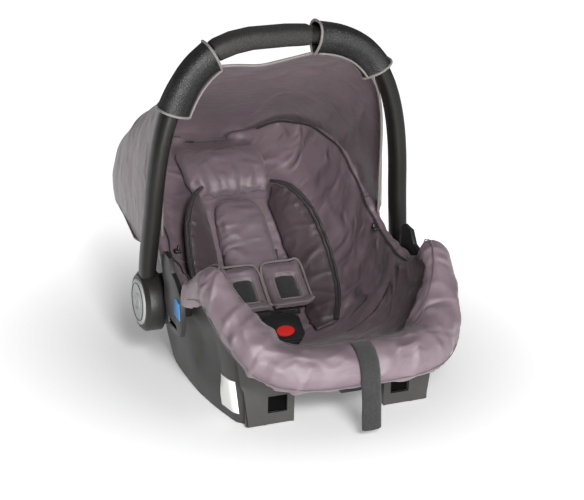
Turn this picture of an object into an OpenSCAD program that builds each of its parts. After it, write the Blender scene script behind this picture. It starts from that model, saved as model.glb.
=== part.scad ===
// Infant car seat with a carrying handle, a sun canopy and a three point harness.
// X is across the seat, -Y is the foot end, +Y is the head end and Z is up.
// The handle turns about the X axis line through the two hubs.

/* [Shell] */
// Half of the shell's width at the rim
shell_half = 187; // [184:0.5:188]
// Distance from the handle axis to the foot end of the shell
foot_end = 330; // [326:1:334]
// Distance from the handle axis to the head end of the shell
head_end = 345; // [340:1:346]
// Wall thickness of the moulded shell
wall = 3.6; // [3:0.1:4.2]
// Inward lean of the outer walls, mm per mm of height
draft = 0.12; // [0.1:0.01:0.13]
// Depth of the scoop in the outer side walls
scoop = 13; // [0:1:14]
// Half of the tunnel between the two runners
tunnel_half = 80; // [70:1:84]

/* [Handle] */
// Height of the handle axis above the floor
axis_z = 120; // [119:0.5:121]
// Half of the handle's width, to the middle of the tube
arch_half = 207.6; // [206:0.2:209]
// Height of the handle above its axis, to the middle of the tube
arch_rise = 409; // [406:1:412]
// Roundness of the arch, 2 is an ellipse and higher is squarer
arch_power = 3.3; // [3:0.1:3.6]
// Forward lean of the upright handle, degrees
lean = 6.3; // [4:0.1:7]
// Width of the handle tube across its flat side
tube_wide = 35; // [32:1:36]
// Thickness of the handle tube
tube_thick = 26; // [24:1:27]
// Gap between the handle tube and what wraps it
wrap_gap = 0.3; // [0.2:0.05:0.6]

/* [Hub] */
// Radius of each hub housing
hub_r = 47; // [45:0.5:48]
// Radius of each release button
button_r = 36; // [30:0.5:37]
// Radius of the pivot bolt
bolt_r = 8; // [7:0.5:9]
// Running clearance between bolt and hub
run_gap = 0.05; // [0.02:0.01:0.1]
// Travel of the release button
button_travel = 3; // [2:0.5:3]

/* [Soft parts] */
// Thickness of the padded cover inside the shell
cover_t = 8; // [6:0.5:9]
// Clearance between soft parts and their neighbours
gap = 1; // [0.8:0.1:1.2]
// Thickness of the canopy cloth
canopy_t = 2; // [1.5:0.5:2.5]
// Width of the harness webbing
web_w = 38; // [36:1:38]

/* [Hidden] */
$fn = 64;
// heights along the seat: rim, middle of the tub, lower edge of the skirt
RIM_Z = [[-330, 96], [-300, 118], [-212, 204], [-100, 166], [-14, 190], [60, 240],
         [130, 288], [220, 314], [285, 308], [345, 282]];
PAN_Z = [[-326, 93], [-290, 80], [-216, 64], [-120, 38], [-40, 16], [0, 22],
         [50, 56], [100, 100], [176, 176], [255, 236], [345, 274]];
SKIRT_Z = [[-254, 0], [40, 0], [75, 30], [100, 72], [128, 122], [200, 180],
           [300, 236], [345, 262]];
// thickness of the insert above the cover
INSERT_T = [[-40, 9], [40, 18], [120, 27], [176, 33], [215, 20]];
// canopy: half width, top, hem along Y
CAN_W = [[-14, 178], [8, 181], [18, 197.5], [90, 197.5], [130, 195], [200, 191],
         [250, 188], [300, 178], [330, 152], [348, 110], [355, 80]];
CAN_T = [[-40, 491.8], [0, 489.8], [42, 465.5], [160, 410], [252, 366], [306, 336], [338, 306],
         [355, 280]];
CAN_B = [[-14, 214], [0, 219], [8, 225], [20, 227], [36, 212], [60, 194], [125, 184],
         [199, 203], [260, 212], [302, 228], [355, 244]];

function soft(y, t, r = 14) =
    (lookup(y - r, t) + 2 * lookup(y, t) + lookup(y + r, t)) / 4;
function rim(y) = soft(y, RIM_Z);
function pan(y) = min(soft(y, PAN_Z), rim(y) - 1);
function depth(y) = rim(y) - pan(y);
function ease(v) = let (c = min(1, max(0, v))) c * c * (3 - 2 * c);
// lower edge of the skirt, lifted in front of the feet
function skirt(y) = y < -254.5 ? pan(y) - wall - 2
    : min(y < 30 ? 0 : soft(y, SKIRT_Z, 8), pan(y) - wall - 2);
// half width of the shell in plan
function plan(y) = y < 0
    ? shell_half * pow(max(0, 1 - pow(-y / foot_end, 4)), 0.25)
    : shell_half * pow(max(0, 1 - pow(y / head_end, 2.4)), 1 / 2.4);
function foot_cut(y) = y < -254.5 || y > -222 ? 0 : 30 * pow((-y - 222) / 32, 2);
function bump(v, a, b) = v <= a || v >= b ? 0 : pow(sin(180 * (v - a) / (b - a)), 1.2);
// outer face of the side wall at height z
function side(y, z) = plan(y) - draft * (rim(y) - z)
    - scoop * ease(2 * bump(y, -205, -85)) * bump(z, 35, 140)
    - foot_cut(y) * ease((rim(y) - z) / 120);
function up(a, p) = pow(max(0, a), p);
// inner face of the tub, lifted by o
function bowl(x, y, o = 0) = let (d = depth(y) - o, w = plan(y) - wall - o,
    q = min(0.999, abs(x) / w), d1 = d * up(1 - pow(q, 3), 1 / 3),
    q2 = min(0.999, abs(x) / max(1, w - draft * d1)))
    rim(y) - d * up(1 - pow(q2, 3), 1 / 3);
function under(x, y) = let (w = plan(y), d = depth(y) + wall,
    q = min(0.999, abs(x) / max(1, w - draft * d * 0.8)))
    rim(y) - d * up(1 - pow(q, 3), 1 / 3);

// closed skin over rings that are stacked in order
module loft(rings) {
    n = len(rings[0]);
    m = len(rings);
    polyhedron(points = [for (r = rings) for (p = r) p],
        faces = concat(
            [[for (i = [0 : n - 1]) i]],
            [for (j = [0 : m - 2]) for (i = [0 : n - 1]) let (k = (i + 1) % n)
                each [[j * n + i, (j + 1) * n + i, (j + 1) * n + k],
                      [j * n + i, (j + 1) * n + k, j * n + k]]],
            [[for (i = [n - 1 : -1 : 0]) (m - 1) * n + i]]),
        convexity = 10);
}
// the same with caps that fan out from their middles
module loft_fan(rings) {
    n = len(rings[0]);
    m = len(rings);
    function mid(r) = [for (p = r) 1] * r / n;
    polyhedron(points = concat([for (r = rings) for (p = r) p],
            [mid(rings[0]), mid(rings[m - 1])]),
        faces = concat(
            [for (i = [0 : n - 1]) [m * n, i, (i + 1) % n]],
            [for (j = [0 : m - 2]) for (i = [0 : n - 1]) let (k = (i + 1) % n)
                each [[j * n + i, (j + 1) * n + i, (j + 1) * n + k],
                      [j * n + i, (j + 1) * n + k, j * n + k]]],
            [for (i = [0 : n - 1])
                [m * n + 1, (m - 1) * n + (i + 1) % n, (m - 1) * n + i]]),
        convexity = 10);
}
// open-ended tube between stacked outer rings and the inner rings in them
module tube_loft(outer, inner) {
    n = len(outer[0]);
    m = len(outer);
    b = n * m;
    polyhedron(points = concat([for (r = outer) for (p = r) p], [for (r = inner) for (p = r) p]),
        faces = concat(
            [for (j = [0 : m - 2]) for (i = [0 : n - 1]) let (k = (i + 1) % n)
                each [[j * n + i, (j + 1) * n + i, (j + 1) * n + k],
                      [j * n + i, (j + 1) * n + k, j * n + k]]],
            [for (j = [0 : m - 2]) for (i = [0 : n - 1]) let (k = (i + 1) % n)
                each [[b + j * n + i, b + (j + 1) * n + k, b + (j + 1) * n + i],
                      [b + j * n + i, b + j * n + k, b + (j + 1) * n + k]]],
            [for (i = [0 : n - 1]) let (k = (i + 1) % n) each [[i, k, b + k], [i, b + k, b + i]]],
            [for (i = [0 : n - 1]) let (k = (i + 1) % n, e = (m - 1) * n)
                each [[e + i, b + e + k, e + k], [e + i, b + e + i, b + e + k]]]),
        convexity = 10);
}
// closed pad between two grids of points, rows along +Y and columns along +X
module slab(top, bot) {
    n = len(top[0]);
    m = len(top);
    b = n * m;
    polyhedron(points = concat([for (r = top) for (p = r) p], [for (r = bot) for (p = r) p]),
        faces = concat(
            [for (j = [0 : m - 2]) for (i = [0 : n - 2])
                let (a = j * n + i, c = a + 1, d = a + n, e = d + 1)
                each [[a, d, e], [a, e, c], [b + a, b + e, b + d], [b + a, b + c, b + e]]],
            [for (i = [0 : n - 2]) each [[i, i + 1, b + i + 1], [i, b + i + 1, b + i]]],
            [for (i = [0 : n - 2]) let (a = (m - 1) * n + i)
                each [[a, b + a + 1, a + 1], [a, b + a, b + a + 1]]],
            [for (j = [0 : m - 2]) let (a = j * n, d = a + n)
                each [[a, b + d, d], [a, b + a, b + d]]],
            [for (j = [0 : m - 2]) let (a = j * n + n - 1, d = a + n)
                each [[a, d, b + d], [a, b + d, b + a]]]),
        convexity = 10);
}
module along_x(s) { scale([s, 1, 1]) rotate([0, 90, 0]) children(); }
module disc(x0, x1, r, r2 = -1) {
    translate([x0, 0, 0]) rotate([0, 90, 0])
        cylinder(h = x1 - x0, r1 = r, r2 = r2 < 0 ? r : r2);
}
// a side: 1 is right (+X), -1 is left
module at_side(s) { if (s > 0) children(); else mirror([1, 0, 0]) children(); }
// flat plate with cut corners, its outline in X and Z, from y0 to y1
module plate_xz(w, h, c, y0, y1) {
    translate([0, y1, 0]) rotate([90, 0, 0]) linear_extrude(y1 - y0)
        polygon([[-w / 2 + c, -h / 2], [w / 2 - c, -h / 2], [w / 2, -h / 2 + c],
            [w / 2, h / 2 - c], [w / 2 - c, h / 2], [-w / 2 + c, h / 2],
            [-w / 2, h / 2 - c], [-w / 2, -h / 2 + c]]);
}

// one part's name, or all of them

// ---- moulded shell ----
STATIONS = [-329, -326, -320, -312, -302, -290, -276, -264, -256.5, -254, -250, -249.4, -240,
    -228, -214, -200, -184, -166, -148, -130, -112, -94, -74, -50, -25, 0, 25, 45, 60, 75,
    90, 105, 120, 140, 165, 190, 215, 240, 262, 282, 300, 316, 328, 336, 341, 344];
LEVELS = [0.1, 0.22, 0.36, 0.5, 0.64, 0.78, 0.9, 1];
function inner_pt(y, p, o = 0) = let (d = (depth(y) - o) * up(cos(p), 2 / 3))
    [sign(p) * max(0.2, plan(y) - wall - o - draft * d) * up(abs(sin(p)), 2 / 3), y,
     rim(y) - d];
function half_ring(y) =
    let (z0 = skirt(y), zr = rim(y), shut = y >= -254.2 && y <= -249.9,
        pk = max(z0 + 0.6, zr - 0.62 * (depth(y) + wall)),
        xr = min(tunnel_half, 0.43 * plan(y)), xo = side(y, z0),
        xw = xr + min(wall, 0.1 * plan(y)))
    concat([for (f = LEVELS) let (z = zr - f * (zr - z0)) [side(y, z), z]],
        [[xo - min(wall, 0.1 * plan(y)), z0]],
        [for (f = [0.2, 0.5, 0.8, 1]) let (z = z0 + f * (pk - z0))
            [side(y, z) - min(wall, 0.1 * plan(y)), shut ? z0 + 0.4 * f + 0.1 : z]],
        [for (f = [0.12, 0.3, 0.5, 0.72, 1])
            let (x = (1 - f) * (side(y, pk) - wall) + f * xw)
            [x, shut ? z0 + 0.5 : max(z0 + 0.5, min(pk, under(x, y)))]],
        [[xw, z0], [xr, z0]],
        [for (x = [xr, xr * 0.6, xr * 0.25]) [x, max(z0 + 0.5, under(x, y))]]);
function shell_ring(y) = let (h = half_ring(y), n = len(h))
    concat([for (p = [-90 : 7.5 : 90]) inner_pt(y, p)],
        [for (q = h) [q[0], y, q[1]]],
        [for (i = [n - 1 : -1 : 0]) [-h[i][0], y, h[i][1]]]);
module seat_shell() {
    color([0.26, 0.26, 0.24]) resize([0, 0, 0]) difference() {
        loft([for (y = STATIONS) shell_ring(y)]);
        // stacking pockets in the front faces of the feet
        for (s = [-1, 1]) translate([s * 98 - 15, -260, 18]) cube([30, 14, 26]);
        // slot for the crotch strap
        translate([-web_w / 2 - 1, -47, 5]) cube([web_w + 2, 6, 30]);
        // slots for the shoulder straps
        for (s = [-1, 1]) translate([s * 37 - web_w / 2 - 1, 110, 100])
            cube([web_w + 2, 8, 40]);
        // slot for the adjusting strap
        translate([-16, -306, 60]) cube([32, 6, 50]);
    }
}

// ---- padded cover: lines the tub and wraps over the rim ----
COVER_Y = [-318, -312, -304, -294, -282, -268, -254, -240, -226, -212, -198, -182, -166,
    -148, -130, -112, -94, -74, -50, -25, 0, 25, 45, 60, 75, 90, 105, 120, 140, 165, 190,
    215, 240, 262, 282, 300, 316, 328, 336];
function flap_t(y) = lookup(y, [[-120, 8], [-60, 5], [400, 5]]);
function cover_half(y) = let (w = plan(y), zr = rim(y), t = flap_t(y), f = 14)
    [[w + gap + 0.4, zr - f], [w + gap + t, zr - f + 2], [w + gap + t, zr - 2],
     [w + t - 2.5, zr + cover_t - 1.5], [w - wall - 1, zr + cover_t]];
function cover_under(y) = let (w = plan(y), zr = rim(y))
    [[w + gap, zr - 12], [w + gap, zr + gap], [w - wall - gap, zr + gap]];
PHI = [for (p = [-84 : 7 : 84]) p];
function lining(y, o) = [for (p = PHI) inner_pt(y, p, o)];
function cover_ring(y) = let (h = cover_half(y), u = cover_under(y))
    concat([for (q = h) [-q[0], y, q[1]]], lining(y, gap + cover_t),
        [for (i = [4 : -1 : 0]) [h[i][0], y, h[i][1]]],
        [for (q = u) [q[0], y, q[1]]],
        [for (i = [len(PHI) - 1 : -1 : 0]) lining(y, gap)[i]],
        [for (i = [2 : -1 : 0]) [-u[i][0], y, u[i][1]]]);
module seat_cover() {
    color([0.52, 0.47, 0.49]) resize([0, 0, 0]) difference() {
        loft([for (y = COVER_Y) cover_ring(y)]);
        translate([-web_w / 2 - 1, -47, 5]) cube([web_w + 2, 6, 40]);
        for (s = [-1, 1]) translate([s * 37 - web_w / 2 - 1, 106, 100])
            cube([web_w + 2, 12, 50]);
        translate([-16, -306, 70]) cube([32, 6, 40]);
    }
}

// ---- padded roll round the foot end ----
ROLL_T = [for (i = [0 : 44]) let (s = -1 + i / 22) 90 + 78.6 * sign(s) * pow(abs(s), 0.8)];
// points of the section: outward from the rim, up from the rim
ROLL_SEC = [[10, -25], [16, -27], [20, -20], [21, -6], [17, 12], [8, 26], [-8, 33],
    [-28, 33], [-46, 24], [-57, 9], [-60, -4], [-52, -9], [-38, -6], [-26, 2], [-14, 11],
    [4, 11], [9.5, 8], [10, -12]];
// height of the cover under the roll, by distance in from the rim
ROLL_BED = [[-60, -9], [-52, -9], [-38, -6], [-26, 2], [-14, 11], [4, 11]];
function roll_pt(t, q) = let (c = cos(t), s = sin(t),
    x = shell_half * sign(c) * up(abs(c), 0.5), y = -foot_end * up(s, 0.5),
    gx = sign(c) * pow(abs(x) / shell_half, 3) / shell_half,
    gy = -pow(-y / foot_end, 3) / foot_end, g = norm([gx, gy]),
    e = ease(min(t - 10, 170 - t) / 9) * 0.75 + 0.25,
    // the ears stand tall and thin beside the legs
    ear = 1 - 0.5 * ease((abs(t - 90) - 35) / 30),
    a = q[0] > 5 ? q[0] : 5 + (q[0] - 5) * e * ear,
    b = q[1] > 11 ? 11 + (q[1] - 11) * e : q[0] > 5 ? q[1] : max(q[1], lookup(a, ROLL_BED)))
    [x + gx / g * a, y + gy / g * a, rim(min(y, -160)) + b];
module front_roll() {
    color([0.52, 0.47, 0.49]) loft([for (t = ROLL_T)
        [for (q = ROLL_SEC) roll_pt(t, q)]]);
}

// ---- loose pads that lie on the cover ----
module seat_pad(y0, y1, x0, x1, lo, hi, rows = 14, cols = 12) {
    // lo and hi are tables of heights over the tub; the rim of the pad is thinner
    ys = [for (j = [0 : rows]) y0 + (y1 - y0) * j / rows];
    function edge(i, n) = up(1 - pow(abs(2 * i / n - 1), 4), 0.5) * 0.85 + 0.15;
    function px(i, y) = let (c = (x0 + x1) / 2, h = (x1 - x0) / 2,
        k = up(1 - pow(abs((2 * y - y0 - y1) / (y1 - y0)), 5) * 0.45, 1))
        c + h * k * (2 * i / cols - 1);
    slab([for (j = [0 : rows]) let (y = ys[j]) [for (i = [0 : cols])
            let (x = px(i, y)) [x, y, bowl(x, y, lookup(y, lo)
                + (lookup(y, hi) - lookup(y, lo)) * edge(i, cols) * edge(j, rows))]]],
        [for (j = [0 : rows]) let (y = ys[j]) [for (i = [0 : cols])
            let (x = px(i, y)) [x, y, bowl(x, y, lookup(y, lo))]]]);
}
module insert_panel() {
    color([0.5, 0.45, 0.47]) resize([0, 0, 0]) difference() {
        seat_pad(-20, 198, -51, 51, [[-40, cover_t + 3]],
            [for (r = INSERT_T) [r[0], cover_t + 3 + r[1]]], 20, 14);
        for (s = [-1, 1]) translate([s * 37 - web_w / 2 - 1, 106, 60])
            cube([web_w + 2, 12, 200]);
    }
}
// a standing leaf: base line beside the insert, ridge line out towards the side wall
RIDGE = [[95, -29, 52], [112, -8, 72], [122, 20, 98], [125, 62, 146], [115, 108, 204],
    [88, 148, 244], [58, 178, 242]];
// inner edge of a wing, clear of the webbing
wing_in = 57;
module wing(s) {
    n = len(RIDGE);
    fs = [0, 0.15, 0.35, 0.55, 0.75, 0.9, 1];
    ys = [for (k = [0 : 12]) -29 + 207 * k / 12];
    function rp(y) = [lookup(y, [for (r = RIDGE) [r[1], r[0]]]), y,
        lookup(y, [for (r = RIDGE) [r[1], r[2]]])];
    function bp(y) = [wing_in, y, bowl(wing_in, y, cover_t + 4) + 14];
    function at(y, f) = bp(y) + (rp(y) - bp(y)) * f;
    function t(f, y) = 12 * (0.25 + 0.75 * up(1 - pow(abs(2 * f - 1), 4), 0.5))
        * (0.4 + 0.6 * up(1 - pow(abs((2 * y - 149) / 207), 6), 0.5));
    at_side(s) slab([for (y = ys) [for (f = fs) at(y, f)]],
        [for (y = ys) [for (f = fs) at(y, f) + [0.55, 0, -0.75] * t(f, y)]]);
}
module insert_wing_left() { color([0.3, 0.27, 0.29]) wing(-1); }
module insert_wing_right() { color([0.3, 0.27, 0.29]) wing(1); }
module head_pad() {
    color([0.52, 0.47, 0.49]) seat_pad(206, 292, -76, 76, [[0, cover_t + 3]],
        [[206, 40], [240, 40], [292, 32]], 12, 14);
}
// webbing from the buckle, over the insert, into the slots
function web_z(x, y) = bowl(min(abs(x), 50), y) + cover_t + 5 + lookup(y, INSERT_T);
module strap(s) {
    ys = concat([-0.5, 5, 11, 16], [for (j = [0 : 12]) 22 + 90 * j / 12]);
    function cx(y) = s * (23.5 + 13.5 * ease(y / 30));
    function wz(y) = max(web_z(37, y) + 2, 70.5 - 0.2 * y);
    slab([for (y = ys) [for (i = [-1 : 1]) [cx(y) + i * web_w / 2, y, wz(y) + 2]]],
        [for (y = ys) [for (i = [-1 : 1]) [cx(y) + i * web_w / 2, y, wz(y)]]]);
}
module tail(s) {
    // the run of webbing from the slot down behind the shell
    translate([s * 37 - web_w / 2, 111, 90.4])
        cube([web_w, 2, web_z(37, 112) - 88]);
}
module shoulder_strap_left() { color([0.08, 0.08, 0.08]) { strap(-1); tail(-1); } }
module shoulder_strap_right() { color([0.08, 0.08, 0.08]) { strap(1); tail(1); } }
module shoulder_pad(s) {
    ys = [for (j = [0 : 12]) 3 + 76 * j / 12];
    function xs(i) = s * 37.5 + (i / 4 - 1) * 35.5;
    // the outer edge lies over the wing
    function zb(x, y) = max(web_z(37, y) + 5, 78 - 0.3 * y) + 5 * ease((abs(x) - 56) / 14);
    function e(i, n) = up(1 - pow(abs(2 * i / n - 1), 4), 0.5) * 0.8 + 0.2;
    slab([for (j = [0 : 12]) let (y = ys[j]) [for (i = [0 : 8])
            [xs(i), y, zb(xs(i), y) + 14 * e(i, 8) * e(j, 12)]]],
        [for (y = ys) [for (i = [0 : 8]) [xs(i), y, zb(xs(i), y)]]]);
}
module shoulder_pad_left() { color([0.5, 0.45, 0.47]) shoulder_pad(-1); }
module shoulder_pad_right() { color([0.5, 0.45, 0.47]) shoulder_pad(1); }

// ---- buckle, tilted back from the crotch strap ----
module at_buckle() { translate([0, -33, 52]) rotate([-52, 0, 0]) children(); }
module oval_xz(w, h, y0, y1) {
    translate([0, y1, -7]) rotate([90, 0, 0]) linear_extrude(y1 - y0)
        polygon([for (a = [0 : 12 : 348]) [w / 2 * cos(a), h / 2 * sin(a)]]);
}
module buckle_body() {
    color([0.09, 0.09, 0.09]) at_buckle() difference() {
        union() {
            plate_xz(62, 50, 9, -9, 9);
            translate([0, 0, -24]) plate_xz(44, 8, 3, -6, 6);
        }
        // well for the button
        oval_xz(31, 20, -10, 3);
        // mouths for the two tongues
        for (s = [-1, 1]) translate([s * 17 - 8, 4.4, 6]) cube([16, 3, 30]);
    }
}
module buckle_button() {
    color([0.8, 0.12, 0.1]) at_buckle() difference() {
        oval_xz(30.2, 19.2, -10.5, -3.5);
        translate([0, -3, -7]) rotate([90, 0, 0]) cylinder(h = 5, r = 6);
    }
}
module helix(r, wire, turns, h, n = 12, k = 5) {
    m = floor(turns * n);
    loft_fan([for (j = [0 : m]) let (a = 360 * j / n, z = wire + (h - 2 * wire) * j / m)
        [for (i = [k - 1 : -1 : 0]) let (b = 360 * i / k)
            [(r + wire * cos(b)) * cos(a), (r + wire * cos(b)) * sin(a),
             z + wire * sin(b)]]]);
}
module buckle_spring() {
    color([0.7, 0.7, 0.72]) at_buckle() translate([0, 2.7, -7]) rotate([90, 0, 0])
        helix(4.2, 0.6, 4, 10);
}
module tongue(s) {
    at_buckle() union() {
        translate([s * 17 - 7, 4.9, 8]) cube([14, 2, 24]);
        translate([s * 22 - 21, 4.9, 31]) difference() {
            cube([42, 2, 12]);
            translate([4, -1, 4.5]) cube([34, 4, 3.5]);
        }
    }
}
module buckle_tongue_left() { color([0.12, 0.12, 0.12]) tongue(-1); }
module buckle_tongue_right() { color([0.12, 0.12, 0.12]) tongue(1); }
module crotch_strap() {
    color([0.08, 0.08, 0.08]) translate([-web_w / 2, 0, 0]) rotate([90, 0, 90])
        linear_extrude(web_w) polygon([[-45.2, 8], [-42.8, 8], [-42.8, 27], [-51, 36],
            [-53, 34.6], [-45.2, 26]]);
}
module crotch_anchor() {
    color([0.6, 0.6, 0.62]) translate([-28, -52, 6.6]) cube([56, 16, 2.4]);
}

// ---- harness adjuster at the foot end ----
module adjuster_body() {
    color([0.62, 0.62, 0.64]) difference() {
        translate([-24, -312, 58]) cube([48, 30, 20.6]);
        translate([-19, -308, 61]) cube([38, 40, 24]);
        translate([-30, -290, 66]) rotate([0, 90, 0]) cylinder(h = 60, r = 2.05);
    }
}
module adjuster_lever() {
    color([0.13, 0.13, 0.13]) {
        translate([-26, -290, 66]) rotate([0, 90, 0]) cylinder(h = 52, r = 2);
        translate([-17, -294, 63]) cube([34, 8, 6]);
        translate([-17, -284, 63.5]) rotate([-20, 0, 0]) translate([0, -3, -1.5])
            cube([34, 16, 3]);
    }
}
TAIL = [[-303, 76], [-303, 100], [-306, 124], [-314, 133.5], [-330, 134.5], [-344, 127],
    [-351.5, 112], [-353, 90], [-353.5, 50], [-353.5, 14]];
module adjuster_strap() {
    n = len(TAIL);
    function dir(i) = let (a = TAIL[max(0, i - 1)], b = TAIL[min(n - 1, i + 1)])
        (b - a) / norm(b - a);
    color([0.08, 0.08, 0.08]) loft([for (i = [0 : n - 1]) let (d = dir(i), w = 12.5,
        u = [-d[1], d[0]]) [for (q = [[w, 0], [w, 1.6], [-w, 1.6], [-w, 0]])
            [q[0], TAIL[i][0] - u[0] * q[1], TAIL[i][1] - u[1] * q[1]]]]);
}
module splitter_plate() {
    color([0.6, 0.6, 0.62]) difference() {
        translate([-56, 105, 88]) cube([112, 14, 3]);
        translate([0, 112, 80]) cylinder(h = 20, r = 4);
    }
}

// ---- belt guides on the outer walls ----
module guide(s) {
    at_side(s) {
        translate([196.6, 0, 0]) rotate([90, 0, 90]) linear_extrude(7)
            difference() {
                polygon([[-140, 118], [-138, 166], [-112, 186], [-96, 192], [-84, 212],
                    [-60, 216], [-50, 208], [-50, 176], [-58, 164], [-58, 150], [-66, 120],
                    [-76, 104], [-104, 100], [-132, 104]]);
                polygon([[-116, 110], [-114, 116], [-74, 120], [-78, 110]]);
            }
        // boss to the shell, above the slot
        translate([179.5, -116, 129]) cube([18, 52, 13]);
    }
}
module belt_guide_left() { color([0.09, 0.09, 0.09]) guide(-1); }
module belt_guide_right() { color([0.09, 0.09, 0.09]) guide(1); }
module marker(s) {
    at_side(s) translate([203.6, 0, 0]) rotate([90, 0, 90]) linear_extrude(1.4)
        polygon([[-135, 130], [-133, 156], [-120, 160], [-109, 156], [-107, 132]]);
}
module belt_marker_left() { color([0.2, 0.53, 0.73]) marker(-1); }
module belt_marker_right() { color([0.2, 0.53, 0.73]) marker(1); }

// ---- pivots ----
module ratchet(s) {
    at_side(s) translate([0, 0, axis_z]) difference() {
        union() {
            disc(181, 197.4, 40);
            disc(177.5, 182, 22);
        }
        disc(170, 200, bolt_r - 0.1);
        // detent notches for the handle lock
        for (a = [0 : 30 : 330]) rotate([a, 0, 0]) translate([194, -3, 28])
            cube([5, 6, 6]);
    }
}
module ratchet_left() { color([0.12, 0.12, 0.12]) ratchet(-1); }
module ratchet_right() { color([0.12, 0.12, 0.12]) ratchet(1); }
module bolt(s) {
    at_side(s) translate([0, 0, axis_z]) {
        disc(178, 210.2, bolt_r);
        disc(210.2, 214, 13);
    }
}
module pivot_bolt_left() { color([0.7, 0.7, 0.72]) bolt(-1); }
module pivot_bolt_right() { color([0.7, 0.7, 0.72]) bolt(1); }
module hub(s) {
    at_side(s) translate([0, 0, axis_z]) difference() {
        union() {
            disc(198, 221, hub_r);
            disc(221, 227, hub_r, hub_r - 6);
        }
        disc(197, 211, bolt_r + run_gap);
        disc(210, 221, 21);
        disc(220.5 - (button_travel - 3), 228, button_r + 0.4);
    }
}
module hub_left() { color([0.15, 0.15, 0.14]) hub(-1); }
module hub_right() { color([0.15, 0.15, 0.14]) hub(1); }
module hub_button(s) {
    at_side(s) translate([0, 0, axis_z]) {
        disc(224, 227.8, button_r);
        disc(227.8, 229.5, button_r, button_r - 2.5);
    }
}
module hub_button_left() { color([0.65, 0.65, 0.64]) hub_button(-1); }
module hub_button_right() { color([0.65, 0.65, 0.64]) hub_button(1); }
module button_spring(s) {
    at_side(s) translate([210.4, 0, axis_z]) rotate([0, 90, 0]) helix(17, 1.1, 4, 13.2);
}
module button_spring_left() { color([0.7, 0.7, 0.72]) button_spring(-1); }
module button_spring_right() { color([0.7, 0.7, 0.72]) button_spring(1); }

// ---- handle: a swept arch that leans forward ----
// u runs from the left foot of the arch (180) over the top (90) to the right foot (0)
function arch(u) = let (c = cos(u), s = sin(u), e = 2 / arch_power, z = arch_rise * up(s, e))
    [arch_half * sign(c) * up(abs(c), e) + sign(c) * 7 * (1 - ease((z - 30) / 130)), z];
function arch_dir(u) = let (a = arch(min(179.98, u + 0.6)), b = arch(max(0.02, u - 0.6)))
    (b - a) / norm(b - a);
function lean_pt(x, v, z) = [x, v * cos(lean) - z * sin(lean),
    axis_z + z * cos(lean) + v * sin(lean)];
// superellipse section: a is half the thickness, b half the width
function arch_ring(u, a, b, n = 16, lift = 0) = let (p = arch(u), d = arch_dir(u),
    o = [-d[1], d[0]])
    [for (i = [0 : n - 1]) let (w = -360 * i / n,
        q = a * sign(cos(w)) * up(abs(cos(w)), 0.7) + lift,
        v = b * sign(sin(w)) * up(abs(sin(w)), 0.7))
        lean_pt(p[0] + o[0] * q, v, p[1] + o[1] * q)];
function thick(u) = let (z = arch(u)[1]) 12 + (tube_thick / 2 - 12) * ease((z - 36) / 60);
ARCH_S = [for (i = [1 : 22]) pow(i / 22, 1.7) * 90];
ARCH_U = concat([1.25], [for (a = ARCH_S) if (a > 1.4) a]);
ARCH_ALL = concat([for (a = ARCH_U) if (a < 89.9) 180 - a], [90],
    [for (i = [len(ARCH_U) - 1 : -1 : 0]) if (ARCH_U[i] < 89.9) ARCH_U[i]]);
module handle_bar() {
    color([0.2, 0.2, 0.18]) loft_fan([for (u = ARCH_ALL)
        arch_ring(u, thick(u), tube_wide / 2)]);
}
// a ring that follows the bar's flat facets, grown by a and b past its section
function bar_ring(u, a, b, lift = 0) = let (
    i = max([for (k = [0 : len(ARCH_ALL) - 2]) if (ARCH_ALL[k] >= u) k]),
    t = (ARCH_ALL[i] - u) / (ARCH_ALL[i] - ARCH_ALL[i + 1]),
    p = arch_ring(ARCH_ALL[i], tube_thick / 2 + a, tube_wide / 2 + b, 16, lift),
    q = arch_ring(ARCH_ALL[i + 1], tube_thick / 2 + a, tube_wide / 2 + b, 16, lift))
    p * (1 - t) + q * t;
// its own ends, and the bar's rings between them
function bar_stops(u0, u1) = concat([u0], [for (u = ARCH_ALL) if (u < u0 - 0.6 && u > u1 + 0.6) u],
    [u1]);
module handle_grip() {
    us = concat([112, 111.3, 110.6], [for (u = ARCH_ALL) if (u < 110.3 && u > 88.7) u],
        [88.4, 87.2, 86.5, 86]);
    function e(u) = up(1 - pow(abs(u - 99) / 13.5, 6), 0.5);
    color([0.24, 0.23, 0.21]) tube_loft(
        [for (u = us) bar_ring(u, 1 + 2.2 * e(u), 0.9 + 1.4 * e(u), -0.6 * e(u))],
        [for (u = us) bar_ring(u, wrap_gap, wrap_gap)]);
}
module sleeve(u0, u1) {
    us = bar_stops(u0, u1);
    tube_loft([for (u = us) bar_ring(u, 5.5, 3.6)],
        [for (u = us) bar_ring(u, wrap_gap, wrap_gap)]);
}
module canopy_sleeve_left() { color([0.07, 0.07, 0.07]) sleeve(142.5, 114); }
module canopy_sleeve_right() { color([0.07, 0.07, 0.07]) sleeve(85, 51); }

// ---- canopy ----
CAN_Y = [0, 8, 20, 36, 58, 85, 120, 155, 190, 220, 250, 276, 298, 316, 330, 341, 349, 355];
function can_pt(y, a, o) = let (w = lookup(y, CAN_W) - o, b = lookup(y, CAN_B),
    t = soft(y, CAN_T, 12) - o,
    s = up(sin(a), 0.5), x = w * sign(cos(a)) * up(abs(cos(a)), 0.5))
    [x, y > 60 ? y : lean_y(y, s), b + (t - b) * s];
function lean_y(y, s) = let (k = 1 - y / 60) y - k * (46 * s * s - 8);
CAN_A = [for (i = [0 : 30]) 180 - 6 * i];
module canopy() {
    color([0.52, 0.47, 0.49]) slab(
        [for (y = CAN_Y) [for (a = CAN_A) can_pt(y, a, 0)]],
        [for (y = CAN_Y) [for (a = CAN_A) can_pt(y, a, canopy_t)]]);
}
module hook(s) {
    at_side(s) translate([164, -22, 0]) {
        translate([0, 0, rim(-16) + cover_t - 2]) cube([9, 14, 5]);
        translate([0, 4, rim(-16) + cover_t - 2]) cube([4, 6, 11]);
    }
}
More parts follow.
